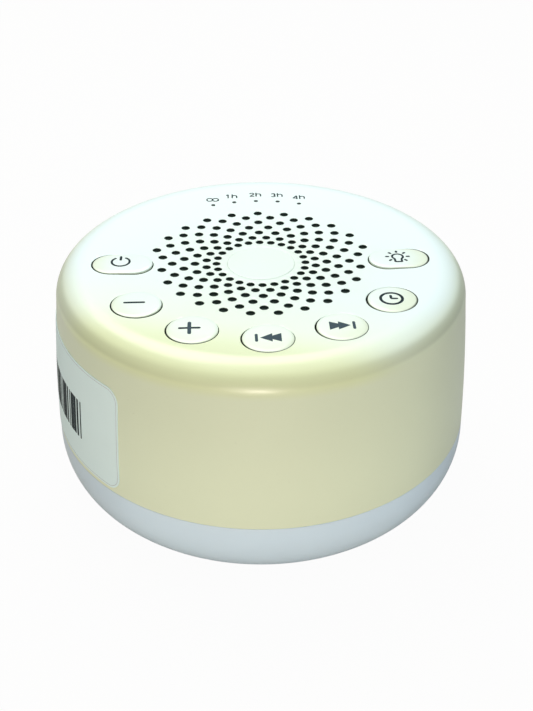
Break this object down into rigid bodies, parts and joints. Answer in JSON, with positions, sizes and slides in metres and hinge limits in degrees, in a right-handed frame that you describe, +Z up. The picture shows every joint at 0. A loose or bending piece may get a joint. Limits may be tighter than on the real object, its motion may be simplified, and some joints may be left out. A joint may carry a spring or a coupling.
{
  "type": "white noise sound machine",
  "caption": "Round desktop sound machine: dished perforated top, ring of press keys, timer dots, speaker inside, milky light ring, rubber feet.",
  "frame": {"origin": "centre of the circle of feet, on the surface it stands on", "axes": "+Z up out of the grille, -Y to the front (previous and next keys), +Y to the power socket at the back, +X to the right (light key)"},
  "size_m": [0.1, 0.1, 0.0576],
  "materials": {
    "shell": "satin moulded white plastic with a faint green tint",
    "keys": "satin moulded white plastic",
    "dark_plastic": "moulded black plastic",
    "mesh_cloth": "fine black cloth",
    "clear_plastic": "clear moulded plastic",
    "milky_plastic": "milky diffusing plastic",
    "base_plastic": "fine-textured white plastic",
    "frame_plastic": "moulded white plastic",
    "circuit_board": "green solder mask",
    "white_board": "white solder mask",
    "leds": "yellow phosphor in white packages",
    "steel": "plated steel",
    "black_steel": "black painted sheet steel",
    "magnet": "dull ferrite",
    "paper_cone": "pressed black paper pulp",
    "spider_cloth": "resin-stiffened woven cloth",
    "rubber": "soft moulded rubber",
    "foam": "closed-cell foam",
    "copper": "enamelled copper wire",
    "strip_board": "brown laminate",
    "can": "sleeved aluminium cans",
    "connector_plastic": "natural nylon",
    "lead_skin": "PVC insulation"
  },
  "bodies": {
    "root": {"top_shell": "shell", "centre_disc": "shell", "dust_mesh": "mesh_cloth", "light_pipe": "clear_plastic", "switch_housings": "steel", "key_board": "circuit_board", "indicator_leds": "leds", "inner_frame": "frame_plastic", "frame_screws": "steel", "speaker_basket": "black_steel", "speaker_gasket": "foam", "speaker_surround": "rubber", "speaker_spider": "spider_cloth", "speaker_top_plate": "steel", "speaker_magnet": "magnet", "speaker_yoke": "steel", "speaker_terminal": "strip_board", "speaker_screws": "steel", "main_board": "circuit_board", "board_chips": "dark_plastic", "board_capacitors": "can", "board_connectors": "connector_plastic", "power_socket": "steel", "board_screws": "steel", "reflector_tray": "frame_plastic", "tray_screws": "steel", "led_board": "white_board", "night_leds": "leds", "speaker_leads": "lead_skin", "key_board_leads": "lead_skin", "led_leads": "lead_skin", "light_ring": "milky_plastic", "base_plate": "base_plastic", "base_screws": "steel", "rubber_feet": "rubber"},
    "power_key": {"power_button": "keys", "power_plunger": "dark_plastic"},
    "volume_down_key": {"volume_down_button": "keys", "volume_down_plunger": "dark_plastic"},
    "volume_up_key": {"volume_up_button": "keys", "volume_up_plunger": "dark_plastic"},
    "previous_key": {"previous_button": "keys", "previous_plunger": "dark_plastic"},
    "next_key": {"next_button": "keys", "next_plunger": "dark_plastic"},
    "timer_key": {"timer_button": "keys", "timer_plunger": "dark_plastic"},
    "light_key": {"light_button": "keys", "light_plunger": "dark_plastic"},
    "cone": {"speaker_cone": "paper_cone", "dust_cap": "paper_cone", "voice_coil": "copper"}
  },
  "joints": [
    {"name": "power_press", "type": "slide", "parent": "root", "child": "power_key", "axis": [0, 0, -1], "range_m": [0, 0.0005], "stiffness_N_per_m": 2000, "springref_m": -0.0003},
    {"name": "volume_down_press", "type": "slide", "parent": "root", "child": "volume_down_key", "axis": [0, 0, -1], "range_m": [0, 0.0005], "stiffness_N_per_m": 2000, "springref_m": -0.0003},
    {"name": "volume_up_press", "type": "slide", "parent": "root", "child": "volume_up_key", "axis": [0, 0, -1], "range_m": [0, 0.0005], "stiffness_N_per_m": 2000, "springref_m": -0.0003},
    {"name": "previous_press", "type": "slide", "parent": "root", "child": "previous_key", "axis": [0, 0, -1], "range_m": [0, 0.0005], "stiffness_N_per_m": 2000, "springref_m": -0.0003},
    {"name": "next_press", "type": "slide", "parent": "root", "child": "next_key", "axis": [0, 0, -1], "range_m": [0, 0.0005], "stiffness_N_per_m": 2000, "springref_m": -0.0003},
    {"name": "timer_press", "type": "slide", "parent": "root", "child": "timer_key", "axis": [0, 0, -1], "range_m": [0, 0.0005], "stiffness_N_per_m": 2000, "springref_m": -0.0003},
    {"name": "light_press", "type": "slide", "parent": "root", "child": "light_key", "axis": [0, 0, -1], "range_m": [0, 0.0005], "stiffness_N_per_m": 2000, "springref_m": -0.0003},
    {"name": "cone_stroke", "type": "slide", "parent": "root", "child": "cone", "axis": [0, 0, 1], "range_m": [-0.0008, 0.0008], "stiffness_N_per_m": 1500, "deforming": ["speaker_surround", "speaker_spider"]}
  ]
}
